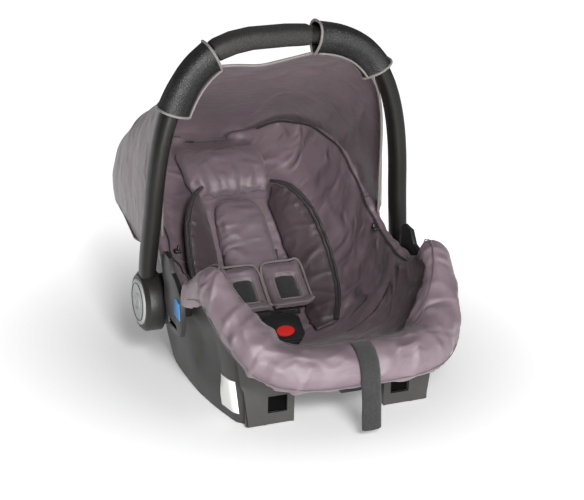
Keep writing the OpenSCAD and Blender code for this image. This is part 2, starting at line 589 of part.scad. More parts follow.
module canopy_hook_left() { color([0.1, 0.1, 0.1]) hook(-1); }
module canopy_hook_right() { color([0.1, 0.1, 0.1]) hook(1); }
module label_plate() {
    ys = [for (j = [0 : 6]) -234 + 7 * j];
    zs = [for (i = [0 : 6]) 15 + 8.5 * i];
    color([0.86, 0.86, 0.83]) slab(
        [for (y = ys) [for (z = zs) [-side(y, z) - 1.2, y, z]]],
        [for (y = ys) [for (z = zs) [-side(y, z) + 0.3, y, z]]]);
}

seat_shell();
seat_cover();
front_roll();
insert_panel();
insert_wing_left();
insert_wing_right();
head_pad();
shoulder_pad_left();
shoulder_pad_right();
shoulder_strap_left();
shoulder_strap_right();
buckle_tongue_left();
buckle_tongue_right();
buckle_body();
buckle_button();
buckle_spring();
crotch_strap();
crotch_anchor();
adjuster_strap();
adjuster_body();
adjuster_lever();
splitter_plate();
belt_guide_left();
belt_guide_right();
belt_marker_left();
belt_marker_right();
ratchet_left();
ratchet_right();
pivot_bolt_left();
pivot_bolt_right();
canopy_hook_left();
canopy_hook_right();
label_plate();
canopy();
handle_bar();
handle_grip();
hub_left();
hub_right();
canopy_sleeve_left();
canopy_sleeve_right();
hub_button_left();
hub_button_right();
button_spring_left();
button_spring_right();
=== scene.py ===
"""Infant car seat: cloth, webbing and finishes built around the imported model.

Shapes are worked out in millimetres, as in the CAD source, and built in metres.
"""
import bpy, bmesh, math
import numpy as np
from mathutils import Matrix, Vector, noise


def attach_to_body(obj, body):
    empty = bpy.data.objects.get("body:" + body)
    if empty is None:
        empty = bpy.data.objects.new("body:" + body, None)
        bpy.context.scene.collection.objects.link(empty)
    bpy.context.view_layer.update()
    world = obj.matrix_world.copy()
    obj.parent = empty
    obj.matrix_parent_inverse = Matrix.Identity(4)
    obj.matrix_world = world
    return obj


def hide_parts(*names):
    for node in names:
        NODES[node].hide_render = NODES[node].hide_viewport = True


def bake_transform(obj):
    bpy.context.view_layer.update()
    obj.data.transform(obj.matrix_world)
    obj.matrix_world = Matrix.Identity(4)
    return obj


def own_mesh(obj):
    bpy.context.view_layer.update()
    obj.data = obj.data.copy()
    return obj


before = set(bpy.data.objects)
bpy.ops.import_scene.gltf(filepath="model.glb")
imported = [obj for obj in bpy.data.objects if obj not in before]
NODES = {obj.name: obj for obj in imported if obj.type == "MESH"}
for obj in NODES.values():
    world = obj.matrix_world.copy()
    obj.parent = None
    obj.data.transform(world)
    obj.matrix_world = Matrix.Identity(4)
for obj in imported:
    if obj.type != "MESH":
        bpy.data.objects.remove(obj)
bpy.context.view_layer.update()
MM = 0.001
SIDES = ((-1, "left"), (1, "right"))

# ---------------------------------------------------------------- camera, light, floor
scene = bpy.context.scene
cam = bpy.data.objects.new("camera", bpy.data.cameras.new("camera"))
scene.collection.objects.link(cam)
cam.data.lens = 85.43
cam.data.sensor_width = 36.0
cam.data.clip_end = 20
# the camera's axes: back from the subject, and level to the right before the roll
back = Vector((-0.3655, -0.8819, 0.2977)).normalized()
level = Vector((0.92383, -0.38287, 0)).normalized()
roll = math.radians(0.28)
cam_right = level * math.cos(roll) + back.cross(level) * math.sin(roll)
cam_up = back.cross(cam_right)
placed = Matrix((cam_right, cam_up, back)).transposed().to_4x4()
placed.translation = Vector((-0.7829, -1.9584, 0.8351))
cam.matrix_world = placed
scene.camera = cam
scene.view_settings.view_transform = "Standard"
scene.view_settings.look = "None"

# a grey studio, brightest at the horizon
world = bpy.data.worlds.new("studio")
scene.world = world
world.use_nodes = True
sky = world.node_tree
direction = sky.nodes.new("ShaderNodeTexCoord")
parts = sky.nodes.new("ShaderNodeSeparateXYZ")
tones = sky.nodes.new("ShaderNodeValToRGB")
tones.color_ramp.elements[0].color = (0.2, 0.2, 0.2, 1)
tones.color_ramp.elements[1].position = 0.12
tones.color_ramp.elements[1].color = (0.1, 0.1, 0.104, 1)
tones.color_ramp.elements.new(0.75).color = (0.13, 0.13, 0.135, 1)
sky.links.new(direction.outputs["Generated"], parts.inputs[0])
sky.links.new(parts.outputs["Z"], tones.inputs["Fac"])
sky.links.new(tones.outputs["Color"], sky.nodes["Background"].inputs[0])
sky.nodes["Background"].inputs[1].default_value = 1.0


def aimed(name, light, toward):
    """Adds a light that shines along a direction."""
    o = bpy.data.objects.new(name, light)
    scene.collection.objects.link(o)
    o.rotation_euler = Vector(toward).to_track_quat("-Z", "Y").to_euler()
    return o


def lamp(name, at, target, size, power):
    light = bpy.data.lights.new(name, "AREA")
    light.energy = power
    light.size = size
    aimed(name, light, Vector(target) - Vector(at)).location = at


lamp("key", (-0.5, -2.1, 1.15), (0, 0.0, 0.3), 0.4, 29)
lamp("low", (-0.2, -2.2, 0.25), (0, 0.1, 0.45), 0.5, 33)
lamp("rim", (0.5, 1.9, 2.2), (0, 0, 0.3), 1.6, 4)
sun = bpy.data.lights.new("daylight", "SUN")
sun.energy = 0.8
sun.angle = 0.15
aimed("daylight", sun, (0.12, 1.25, -0.72))

bpy.ops.mesh.primitive_plane_add(size=40, location=(0, 0, -0.0006))
floor = bpy.context.object
floor.name = "floor"

# ---------------------------------------------------------------- materials


class Mat:
    """A small wrapper for building a node material."""

    def __init__(self, name, rough, spec):
        self.m = bpy.data.materials.new(name)
        self.m.use_nodes = True
        self.t = self.m.node_tree
        self.p = self.t.nodes["Principled BSDF"]
        self.p.inputs["Roughness"].default_value = rough
        self.p.inputs["Specular IOR Level"].default_value = spec
        self.co = self.n("ShaderNodeTexCoord").outputs["Object"]
        self.last = None

    def n(self, kind, **kw):
        x = self.t.nodes.new(kind)
        for k, v in kw.items():
            setattr(x, k, v)
        return x

    def link(self, a, b):
        self.t.links.new(a, b)

    def mapped(self, stretch=None, rot=None):
        if stretch is None and rot is None:
            return self.co
        x = self.n("ShaderNodeMapping")
        x.inputs["Scale"].default_value = stretch or (1, 1, 1)
        x.inputs["Rotation"].default_value = rot or (0, 0, 0)
        self.link(self.co, x.inputs["Vector"])
        return x.outputs["Vector"]

    def noise(self, scale, detail, rough=0.55, stretch=None):
        x = self.n("ShaderNodeTexNoise")
        x.inputs["Scale"].default_value = scale
        x.inputs["Detail"].default_value = detail
        x.inputs["Roughness"].default_value = rough
        self.link(self.mapped(stretch), x.inputs["Vector"])
        return x.outputs["Fac"]

    def ridges(self, scale, stretch):
        x = self.n("ShaderNodeTexNoise", noise_type="RIDGED_MULTIFRACTAL")
        x.inputs["Scale"].default_value = scale
        x.inputs["Detail"].default_value = 2.5
        x.inputs["Roughness"].default_value = 0.45
        x.inputs["Distortion"].default_value = 0.7
        self.link(self.mapped(stretch), x.inputs["Vector"])
        return x.outputs["Fac"]

    def wave(self, scale, direction, rot=None):
        x = self.n("ShaderNodeTexWave", wave_type="BANDS", bands_direction=direction)
        x.inputs["Scale"].default_value = scale
        x.inputs["Detail"].default_value = 1
        self.link(self.mapped(None, rot), x.inputs["Vector"])
        return x.outputs["Fac"]

    def ramp(self, fac, stops):
        x = self.n("ShaderNodeValToRGB")
        for element, (pos, col) in zip(x.color_ramp.elements, stops):
            element.position = pos
            element.color = (*col, 1)
        self.link(fac, x.inputs["Fac"])
        return x.outputs["Color"]

    def color(self, out):
        self.link(out, self.p.inputs["Base Color"])

    def rough(self, fac, lo, hi):
        x = self.n("ShaderNodeMapRange")
        x.inputs["To Min"].default_value = lo
        x.inputs["To Max"].default_value = hi
        self.link(fac, x.inputs["Value"])
        self.link(x.outputs["Result"], self.p.inputs["Roughness"])

    def add(self, a, b):
        x = self.n("ShaderNodeMath", operation="ADD")
        self.link(a, x.inputs[0])
        self.link(b, x.inputs[1])
        return x.outputs[0]

    def bump(self, height, strength, dist):
        """Each bump is laid over the ones before it."""
        x = self.n("ShaderNodeBump")
        x.inputs["Strength"].default_value = strength
        x.inputs["Distance"].default_value = dist
        self.link(height, x.inputs["Height"])
        if self.last:
            self.link(self.last, x.inputs["Normal"])
        self.last = x.outputs["Normal"]
        self.link(self.last, self.p.inputs["Normal"])


def fabric(name, light, dark, rough, sheen, pucker=1.0):
    """Satin woven polyester: crossed threads, ridged creases and slow colour drift."""
    a = Mat(name, rough, 0.5)
    a.color(a.ramp(a.noise(9, 5), [(0.25, dark), (0.75, light)]))
    a.rough(a.noise(40, 3), rough - 0.08, rough + 0.08)
    a.bump(a.ridges(9, (1.0, 0.5, 0.8)), 0.6 * pucker, 0.016)
    a.bump(a.ridges(34, (0.5, 1.0, 0.8)), 0.75 * pucker, 0.006)
    threads = a.add(a.wave(900, "DIAGONAL"), a.wave(900, "Z", (0.6, 0.2, 0.4)))
    a.bump(threads, 0.25, 0.0002)
    a.p.inputs["Sheen Weight"].default_value = sheen
    a.p.inputs["Sheen Roughness"].default_value = 0.4
    return a.m


def plastic(name, col, rough, grain, spec=0.5, scale=900):
    """Moulded plastic: fine spark texture, faint tone drift and rubbed gloss."""
    a = Mat(name, rough, spec)
    worn = tuple(min(1, v * 1.18 + 0.004) for v in col)
    a.color(a.ramp(a.noise(14, 5), [(0.3, col), (0.75, worn)]))
    a.rough(a.noise(24, 6), rough - 0.07, rough + 0.1)
    a.bump(a.noise(scale, 2, 0.5), grain, 0.0003)
    a.bump(a.noise(16, 2), 0.1, 0.001)
    return a.m


LIT = (0.19, 0.142, 0.16)
DIM = (0.125, 0.092, 0.106)
M = {}
M["cover"] = fabric("cover_cloth", LIT, DIM, 0.36, 0.12, 1.6)
M["insert"] = fabric("insert_cloth", (0.178, 0.136, 0.153), (0.125, 0.094, 0.108), 0.36, 0.12, 1.3)
# painted shade: the wings' cloth is a darker copy of the cover cloth, standing in for the shade the
# wings lie in
M["wing"] = fabric("shaded_wing_cloth", (0.075, 0.054, 0.06), (0.045, 0.032, 0.036), 0.42, 0.1, 0.9)
M["canopy"] = fabric("canopy_cloth", LIT, DIM, 0.4, 0.12, 0.7)
M["piping"] = fabric("dark_piping", (0.03, 0.025, 0.027), (0.018, 0.015, 0.016), 0.55, 0.15)
M["tape"] = fabric("binding_tape", (0.2, 0.178, 0.168), (0.145, 0.128, 0.12), 0.6, 0.25)
M["seam"] = fabric("seam_thread", (0.1, 0.08, 0.088), (0.07, 0.055, 0.062), 0.6, 0.2)
M["shell"] = plastic("shell_plastic", (0.033, 0.032, 0.03), 0.47, 0.5)
M["handle"] = plastic("handle_plastic", (0.007, 0.0066, 0.0058), 0.36, 0.25, 0.24, 1100)
M["hub"] = plastic("hub_plastic", (0.012, 0.0115, 0.0105), 0.42, 0.35, 0.35)
M["black"] = plastic("black_plastic", (0.012, 0.012, 0.012), 0.36, 0.3)
M["cap"] = plastic("cap_plastic", (0.33, 0.34, 0.34), 0.36, 0.12)
M["red"] = plastic("red_plastic", (0.62, 0.02, 0.015), 0.3, 0.08)
M["blue"] = plastic("blue_plastic", (0.02, 0.2, 0.5), 0.4, 0.15)
# painted shade: near black, for the sheets that darken the foot pockets
M["pocket"] = plastic("pocket_shade", (0.002, 0.002, 0.002), 0.8, 0.1, 0.05)
M["label"] = plastic("label_film", (0.72, 0.72, 0.69), 0.45, 0.05)

rubber = Mat("grip_rubber", 0.55, 0.22)
speckle = [(0.42, (0.012, 0.0115, 0.011)), (0.62, (0.042, 0.04, 0.037))]
rubber.color(rubber.ramp(rubber.noise(900, 2), speckle))
rubber.bump(rubber.noise(1100, 2), 0.4, 0.0004)
M["grip"] = rubber.m

zinc = Mat("steel_zinc", 0.3, 0.5)
zinc.p.inputs["Metallic"].default_value = 1.0
brushed = [(0.3, (0.5, 0.5, 0.52)), (0.8, (0.68, 0.68, 0.7))]
zinc.color(zinc.ramp(zinc.noise(60, 4, 0.6, (1, 8, 1)), brushed))
zinc.rough(zinc.noise(90, 3, 0.6, (1, 10, 1)), 0.22, 0.4)
M["steel"] = zinc.m

hide = Mat("leatherette", 0.42, 0.5)
cells = hide.n("ShaderNodeTexVoronoi", feature="DISTANCE_TO_EDGE")
cells.inputs["Scale"].default_value = 260
hide.link(hide.co, cells.inputs["Vector"])
grain = [(0.0, (0.003, 0.003, 0.003)), (0.3, (0.016, 0.015, 0.015))]
hide.color(hide.ramp(cells.outputs["Distance"], grain))
hide.rough(hide.noise(60, 4), 0.44, 0.6)
hide.bump(cells.outputs["Distance"], 0.7, 0.0014)
hide.bump(hide.noise(40, 3), 0.2, 0.002)
M["leather"] = hide.m

belt = Mat("webbing", 0.6, 0.35)
belt.color(belt.ramp(belt.noise(240, 3), [(0.3, (0.008, 0.008, 0.009)), (0.75, (0.026, 0.026, 0.027))]))
belt.bump(belt.wave(330, "X"), 0.5, 0.0006)
belt.bump(belt.wave(700, "DIAGONAL", (0.3, 0.5, 0.1)), 0.4, 0.0003)
belt.p.inputs["Sheen Weight"].default_value = 0.2
M["web"] = belt.m

# painted shadow: the floor is dark right under the seat, white round it, and gives more light of its own
# further out
paper = Mat("floor_paper", 0.9, 0.1)
paper.p.inputs["Emission Color"].default_value = (1, 1, 1, 1)
reach = paper.n("ShaderNodeTexGradient", gradient_type="SPHERICAL")
paper.link(paper.mapped((1.6, 1.25, 1)), reach.inputs["Vector"])
glow = paper.n("ShaderNodeMapRange")
for socket, value in (("From Min", 0.6), ("From Max", 0.0), ("To Min", 0.2), ("To Max", 0.8)):
    glow.inputs[socket].default_value = value
paper.link(reach.outputs["Fac"], glow.inputs["Value"])
# the base colour carries a painted shadow: dark under the seat, white round it
paper.color(paper.ramp(reach.outputs["Fac"], [(0.72, (0.94, 0.94, 0.94)), (0.8, (0.03, 0.03, 0.03))]))
paper.link(glow.outputs["Result"], paper.p.inputs["Emission Strength"])
floor.data.materials.append(paper.m)

# ---------------------------------------------------------------- finishes of the CAD parts


def shade_smooth(me):
    me.polygons.foreach_set("use_smooth", [True] * len(me.polygons))


def refine(o, levels):
    fine = o.modifiers.new("fine", "SUBSURF")
    fine.levels = levels
    fine.render_levels = levels


def paint(node, key, bevel=0.0, angle=34, subsurf=0):
    """Gives a CAD node its finish and softens its facets, leaving its mesh alone."""
    o = NODES[node]
    if not o.material_slots:
        o.data.materials.append(M[key])
    for sl in o.material_slots:
        sl.material = M[key]
    if "custom_normal" in o.data.attributes:
        o.data.attributes.remove(o.data.attributes["custom_normal"])
    shade_smooth(o.data)
    o.modifiers.new("weld", "WELD").merge_threshold = 2e-5
    if bevel:
        b = o.modifiers.new("round", "BEVEL")
        b.width = bevel
        b.segments = 2
        b.limit_method = "ANGLE"
        b.angle_limit = math.radians(40)
    if subsurf:
        refine(o, subsurf)
    o.modifiers.new("edges", "EDGE_SPLIT").split_angle = math.radians(angle)


for key, bevel, names in (
    ("shell", 0, ("seat_shell",)),
    ("hub", 0.0008, ("ratchet_left", "ratchet_right")),
    ("hub", 0.0003, ("hub_left", "hub_right")),
    ("cap", 0.0006, ("hub_button_left", "hub_button_right")),
    ("black", 0.002, ("belt_guide_left", "belt_guide_right")),
    ("blue", 0.0006, ("belt_marker_left", "belt_marker_right")),
    ("black", 0.0025, ("buckle_body",)),
    ("red", 0.0015, ("buckle_button",)),
    ("black", 0.0008, ("buckle_tongue_left", "buckle_tongue_right")),
    ("steel", 0.0006, ("crotch_anchor", "splitter_plate", "pivot_bolt_left", "pivot_bolt_right")),
    ("black", 0.0006, ("adjuster_body", "adjuster_lever", "canopy_hook_left", "canopy_hook_right")),
    ("label", 0, ("label_plate",)),
    ("web", 0, ("crotch_strap",)),
    ("grip", 0, ("handle_grip",)),
):
    for name in names:
        paint(name, key, bevel)
paint("handle_bar", "handle", angle=60, subsurf=1)

# ---------------------------------------------------------------- the seat's own surfaces
# X is across the seat, Y runs from the foot end to the head end, Z is up.
HALF_WIDTH = 187
FOOT_REACH = 330
HEAD_REACH = 345
WALL = 3.6
# by Y: height of the shell's rim, height of the bowl's lowest line, thickness of the insert
RIM = [(-330, 96), (-300, 118), (-212, 204), (-100, 166), (-14, 190), (60, 240), (130, 288),
       (220, 314), (285, 308), (345, 282)]
PAN = [(-326, 93), (-290, 80), (-216, 64), (-120, 38), (-40, 16), (0, 22), (50, 56), (100, 100),
       (176, 176), (255, 236), (345, 274)]
INSERT = [(-40, 9), (40, 18), (120, 27), (176, 33), (215, 20)]


def look(v, t):
    return float(np.interp(v, [a for a, _ in t], [b for _, b in t]))


def soft(y, t, r=14):
    """A table's value with its corners rounded over r mm each way."""
    return (look(y - r, t) + 2 * look(y, t) + look(y + r, t)) / 4


def rim(y):
    return soft(y, RIM)


def pan(y):
    return min(soft(y, PAN), rim(y) - 1)


def plan(y):
    """Half the width of the rim at y."""
    if y < 0:
        return HALF_WIDTH * max(0, 1 - (-y / FOOT_REACH) ** 4) ** 0.25
    return HALF_WIDTH * max(0, 1 - (y / HEAD_REACH) ** 2.4) ** (1 / 2.4)


def up(a, p):
    return max(0.0, a) ** p


def sgn(a):
    return 1 if a > 0 else (-1 if a < 0 else 0)


def ease(a):
    a = min(1.0, max(0.0, a))
    return a * a * (3 - 2 * a)


def bowl(x, y, o=0.0):
    """Height of the surface that lies o mm inside the bowl."""
    d, w = rim(y) - pan(y) - o, plan(y) - WALL - o
    q = min(0.999, abs(x) / w)
    d1 = d * up(1 - q ** 3, 1 / 3)
    q2 = min(0.999, abs(x) / max(1, w - 0.12 * d1))
    return rim(y) - d * up(1 - q2 ** 3, 1 / 3)


def inner(y, p, o):
    """A point of that surface, at an angle of p degrees from its lowest line."""
    d = (rim(y) - pan(y) - o) * up(math.cos(math.radians(p)), 2 / 3)
    w = max(0.2, plan(y) - WALL - o - 0.12 * d)
    return Vector((sgn(p) * w * abs(math.sin(math.radians(p))) ** (2 / 3), y, rim(y) - d))


def wob(p, scale, seed=0.0):
    """Smooth noise in -1..1 at a point in mm."""
    return noise.noise(Vector(p) * (1.0 / scale) + Vector((seed * 7.3, seed * 3.1, seed * 5.7)))


def crease(p, scale, seed, sharp=3.0):
    """Thin soft ridges, 0 to 1, as satin shows where it puckers."""
    return max(0.0, 1 - 2.4 * abs(wob(p, scale, seed))) ** sharp


# ---------------------------------------------------------------- building pieces


def attach(o, body):
    """Cloth between two bodies comes without a body."""
    if body:
        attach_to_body(o, body)


def build(name, verts, faces, key, body, slot, rep=(), sub=0, smooth=True):
    me = bpy.data.meshes.new(name)
    me.from_pydata([tuple(c * MM for c in v) for v in verts], [], faces)
    me.validate()
    me.update()
    o = bpy.data.objects.new(name, me)
    scene.collection.objects.link(o)
    me.materials.append(M[key])
    if smooth:
        shade_smooth(me)
    if sub:
        refine(o, sub)
    attach(o, body)
    if rep:
        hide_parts(*rep)
    return o


def outward(o):
    bm = bmesh.new()
    bm.from_mesh(o.data)
    bmesh.ops.recalc_face_normals(bm, faces=bm.faces)
    bm.to_mesh(o.data)
    bm.free()


def thicken(o, by, offset):
    mod = o.modifiers.new("thick", "SOLIDIFY")
    mod.thickness = by
    mod.offset = offset


def baked(o):
    """A new mesh of the object as its modifiers leave it."""
    graph = bpy.context.evaluated_depsgraph_get()
    return bpy.data.meshes.new_from_object(o.evaluated_get(graph))


def grid_faces(m, n, off=0, wrap=False):
    out = []
    for j in range(m - 1):
        for i in range(n if wrap else n - 1):
            k = (i + 1) % n
            out.append((off + j * n + i, off + j * n + k, off + (j + 1) * n + k, off + (j + 1) * n + i))
    return out


def rings(rows, caps=True):
    """Closed tube through rings of points."""
    n, m = len(rows[0]), len(rows)
    v = [p for r in rows for p in r]
    f = grid_faces(m, n, 0, True)
    if caps:
        f += [tuple(range(n))[::-1], tuple((m - 1) * n + i for i in range(n))]
    return v, f


def pad(top, bot):
    """Closed form between two grids."""
    m, n = len(top), len(top[0])
    b = m * n
    v = [p for r in top for p in r] + [p for r in bot for p in r]
    f = grid_faces(m, n) + [tuple(reversed(q)) for q in grid_faces(m, n, b)]
    edge = list(range(n)) + [j * n + n - 1 for j in range(1, m)]
    edge += [(m - 1) * n + i for i in range(n - 2, -1, -1)] + [j * n for j in range(m - 2, 0, -1)]
    f += [(c, a, a + b, c + b) for a, c in zip(edge, edge[1:] + edge[:1])]
    return v, f


PUFF_FRAMES = 20


def puff(o, voxel, pressure, cap):
    """Inflates a closed form with a short cloth simulation and keeps the result.

    voxel and cap are in metres, and no point moves further than cap.
    """
    outward(o)
    bpy.context.view_layer.objects.active = o
    remesh = o.modifiers.new("remesh", "REMESH")
    remesh.mode = "VOXEL"
    remesh.voxel_size = voxel
    remesh.use_smooth_shade = True
    me = baked(o)
    o.modifiers.clear()
    o.data = me
    start = np.array([v.co[:] for v in me.vertices])
    cloth = o.modifiers.new("cloth", "CLOTH")
    st = cloth.settings
    st.quality = 4
    st.mass = 0.3
    st.tension_stiffness = 12
    st.compression_stiffness = 8
    st.bending_stiffness = 0.6
    st.use_pressure = True
    st.uniform_pressure_force = pressure
    st.effector_weights.gravity = 0
    cloth.collision_settings.use_collision = False
    for span in (scene, cloth.point_cache):
        span.frame_start = 1
        span.frame_end = PUFF_FRAMES
    for fr in range(1, PUFF_FRAMES + 1):
        scene.frame_set(fr)
    graph = bpy.context.evaluated_depsgraph_get()
    end = np.array([v.co[:] for v in o.evaluated_get(graph).data.vertices])
    o.modifiers.clear()
    scene.frame_set(1)
    d = end - start
    ln = np.linalg.norm(d, axis=1, keepdims=True) + 1e-12
    d *= np.minimum(1, cap / ln)
    me.vertices.foreach_set("co", (start + d).ravel())
    me.update()
    shade_smooth(me)
    refine(o, 1)


def shift(o, fn):
    """Moves each vertex along its normal by fn(point in mm) mm."""
    me = o.data
    nm = [v.normal.copy() for v in me.vertices]
    for v, n in zip(me.vertices, nm):
        v.co += n * fn(v.co / MM) * MM
    me.update()


def clip(k, lo, hi):
    return max(lo, min(hi, k))


def tube(name, pts, r, key, body, cyclic=False):
    """Piping or thread: a round tube along points in mm."""
    cu = bpy.data.curves.new(name, "CURVE")
    cu.dimensions = "3D"
    cu.bevel_depth = r * MM
    cu.bevel_resolution = 3
    sp = cu.splines.new("POLY")
    sp.points.add(len(pts) - 1)
    for q, p in zip(sp.points, pts):
        q.co = (p[0] * MM, p[1] * MM, p[2] * MM, 1)
    sp.use_cyclic_u = cyclic
    cu.use_fill_caps = True
    o = bpy.data.objects.new(name, cu)
    scene.collection.objects.link(o)
    cu.materials.append(M[key])
    me = baked(o)
    bpy.data.objects.remove(o)
    o = bpy.data.objects.new(name, me)
    scene.collection.objects.link(o)
    shade_smooth(me)
    attach(o, body)
    return o


# ---------------------------------------------------------------- padded cover
YS = list(np.linspace(-316, 338, 96))
COVER_PAD = 9.5
SIDE_ANGLE = 82


def lift(y):
    """Extra height of the padded rim round the head end."""
    return 10 * ease((y - 50) / 90) * (1 - ease((y - 275) / 55))


def cover_row(y):
    w, zr, ex = plan(y), rim(y), lift(y)
    out = [(w + 3, zr - 15), (w + 7, zr - 12), (w + 8, zr - 3 + ex / 2), (w + 4, zr + 6 + ex),
           (w - 5, zr + 9.5 + ex), (w - 12, zr + 4 + ex)]
    row = [Vector((-a, y, b)) for a, b in out]
    for p in np.linspace(-SIDE_ANGLE, SIDE_ANGLE, 57):
        row.append(inner(y, p, COVER_PAD) + Vector((0, 0, ex * abs(p / SIDE_ANGLE) ** 5)))
    row += [Vector((a, y, b)) for a, b in reversed(out)]
    return row


cover_rows = [cover_row(y) for y in YS]
across = len(cover_rows[0])
cover_faces = [tuple(reversed(f)) for f in grid_faces(len(cover_rows), across)]
cover = build("cover_cloth", [p for r in cover_rows for p in r], cover_faces, "cover", "seat",
              "cover_fabric", ("seat_cover",), 1)


def cover_fold(p):
    side = ease((abs(p.x) - 85) / 50)
    k = 1.2 * wob((p.x, p.y * 0.6, p.z), 52, 1) + 0.5 * wob((p.x * 2, p.y, p.z), 17, 2)
    k += side * 5.0 * crease((p.x * 0.3, p.y + 0.5 * p.z, p.z * 0.35), 40, 5, 2.0)
    k += side * 4.0 * crease((p.x * 0.3, p.y * 0.5 - 0.4 * p.z, p.z), 52, 9, 2.0)
    # creases that fan out from the handle's hub
    fan = math.degrees(math.atan2(p.z - 130, p.y - 10))
    k += side * 2.6 * crease((fan * 1.6, 0.12 * math.hypot(p.z - 130, p.y - 10), sgn(p.x) * 9), 22, 41)
    # the cloth is drawn in where the side panel is sewn to the seat panel
    drawn = side * math.exp(-((p.y + 62 + 0.35 * (p.z - 120)) / 12) ** 2)
    k = k * (1 - drawn) - 2.0 * drawn
    bolster = 4.5 * side * ease((p.y - 30) / 60) * (1 - ease((p.y - 260) / 50))
    return clip(k - 1.4 * side, -5.5, 4.5) + bolster


shift(cover, cover_fold)
thicken(cover, 0.0016, -1)

for sd, _ in SIDES:
    seam = []
    for q in np.linspace(0, 1, 40):
        at = inner(-62 - 0.35 * (rim(-62) - 8 - 120) * (1 - q), sd * (80 - 50 * q), 8)
        near = cover.closest_point_on_mesh(at * MM)[1]
        seam.append(near / MM + Vector((-0.8 * sd, 0, 0.6)) * 1.2)
    tube("side_seam_%d" % (sd + 1), seam, 1.4, "piping", "seat")
    # the binding follows the padding's inner edge as it lies after its folds
    column = 5 if sd < 0 else across - 6
    edge = []
    for j, y in enumerate(YS):
        if -128 < y < 312:
            a, b, c = (cover.data.vertices[(j + d) * across + column].co / MM for d in (-1, 0, 1))
            edge.append((a + b * 2 + c) / 4 + Vector((0, 0, 0.8)))
    tube("rim_binding_%d" % (sd + 1), edge, 2.2, "piping", "seat")

# ---------------------------------------------------------------- roll round the foot end
# the roll's section and the surface it rests on, as (outward from the rim, above the rim)
SECTION = [(10, -25), (16, -27.5), (20.5, -20), (21.5, -5), (18, 12), (8, 26), (-8, 32), (-28, 32),
           (-46, 24), (-57, 9), (-60, -3), (-52, -8), (-38, -6), (-26, 2), (-14, 11), (4, 11.5),
           (10, 8), (10.5, -12)]
ROLL_BED = [(-60, -9), (-52, -9), (-38, -6), (-26, 2), (-14, 11), (4, 11)]


def roll_pt(t, q):
    """A point of the section, at t degrees round the foot end's plan."""
    c, s = math.cos(math.radians(t)), math.sin(math.radians(t))
    x, y = HALF_WIDTH * sgn(c) * up(abs(c), 0.5), -FOOT_REACH * up(s, 0.5)
    gx, gy = sgn(c) * (abs(x) / HALF_WIDTH) ** 3 / HALF_WIDTH, -(-y / FOOT_REACH) ** 3 / FOOT_REACH
    g = math.hypot(gx, gy)
    # thinner towards its two ends
    e = ease(min(t - 10, 170 - t) / 9) * 0.8 + 0.2
    ear = 1 - 0.5 * ease((abs(t - 90) - 35) / 30)
    a = q[0] if q[0] > 5 else 5 + (q[0] - 5) * e * ear
    b = 11 + (q[1] - 11) * e if q[1] > 11 else q[1] if q[0] > 5 else max(q[1], look(a, ROLL_BED) + 0.4)
    return Vector((x + gx / g * a, y + gy / g * a, rim(min(y, -160)) + b))


def fine_ring(sec, k=3):
    out = []
    for i, a in enumerate(sec):
        b = sec[(i + 1) % len(sec)]
        out += [(a[0] + (b[0] - a[0]) * j / k, a[1] + (b[1] - a[1]) * j / k) for j in range(k)]
    return out


turns_round = [90 + 79 * sgn(a) * abs(a) ** 0.8 for a in np.linspace(-1, 1, 121)]
roll_mesh = rings([[roll_pt(t, q) for q in fine_ring(SECTION)] for t in turns_round])
foot_roll = build("foot_roll", *roll_mesh, "cover", "seat", "cover_fabric", ("front_roll",))
puff(foot_roll, 0.0055, 3.0, 0.005)


def roll_fold(p):
    a = math.degrees(math.atan2(-(p.y + 120), p.x))
    corner = math.exp(-((a - 45) / 22) ** 2) + math.exp(-((a - 135) / 22) ** 2)
    k = (0.9 + 2.2 * corner) * 1.6 * crease((a * 2.2, p.z * 0.35, 0), 22, 3)
    k += 2.6 * crease((p.x * 0.9, p.y * 0.9, p.z * 0.4), 60, 14)
    k += 1.2 * wob(p, 44, 4) + 0.35 * wob(p, 14, 9)
    return clip(k - 2.0, -3.4, 4.2)


shift(foot_roll, roll_fold)
# sewn seams along the roll's outer face and over its top
for k, q in enumerate([(22.0, -14), (-30, 33)]):
    tube("roll_seam_%d" % k, [roll_pt(t, q) for t in turns_round[3:-3]], 0.7, "seam", "seat")

# ---------------------------------------------------------------- insert, wings and pads
COVER_TOP = 11.5


def surf_pad(name, y0, y1, half, high, rows, cols, power, taper):
    """A pad on the cover, between y0 and y1, whose top lies high(y) above the bowl."""
    def e(i, n):
        return up(1 - abs(2 * i / n - 1) ** power, 0.5) * 0.85 + 0.15

    top, bot = [], []
    for j in range(rows + 1):
        y = y0 + (y1 - y0) * j / rows
        k = 1 - abs((2 * y - y0 - y1) / (y1 - y0)) ** 5 * taper
        xs = [half * k * (2 * i / cols - 1) for i in range(cols + 1)]
        rise = [(high(y) - COVER_TOP) * e(i, cols) * e(j, rows) for i in range(cols + 1)]
        top.append([Vector((x, y, bowl(x, y, COVER_TOP + r))) for x, r in zip(xs, rise)])
        bot.append([Vector((x, y, bowl(x, y, COVER_TOP))) for x in xs])
    return build(name, *pad(top, bot), "insert", "seat", "insert_fabric")


def insert_fold(p):
    k = 0.9 * wob((p.x, p.y * 1.8, p.z), 40, 6)
    return clip(k + 1.8 * crease((p.x * 0.4, p.y * 1.3, p.z), 34, 8) - 0.6, -2.4, 3.2)


insert = surf_pad("insert_cloth", -18, 197, 51, lambda y: 10.5 + look(y, INSERT), 40, 24, 4, 0.45)
puff(insert, 0.0045, 3.0, 0.004)
shift(insert, insert_fold)
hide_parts("insert_panel")

# the wings' free edge, and where they start and end
RIDGE = [(95, -29, 52), (112, -8, 72), (122, 20, 98), (125, 62, 146), (115, 108, 204), (88, 148, 244),
         (58, 178, 242)]
WING_Y0 = -29
WING_Y1 = 178


def ridge(y):
    return Vector((soft(y, [(b, a) for a, b, _ in RIDGE]), y, soft(y, [(b, c) for _, b, c in RIDGE])))


def along_wing(y, power):
    """1 along the middle of a wing, falling to 0 at its ends."""
    return 1 - abs((2 * y - (WING_Y0 + WING_Y1)) / (WING_Y1 - WING_Y0)) ** power


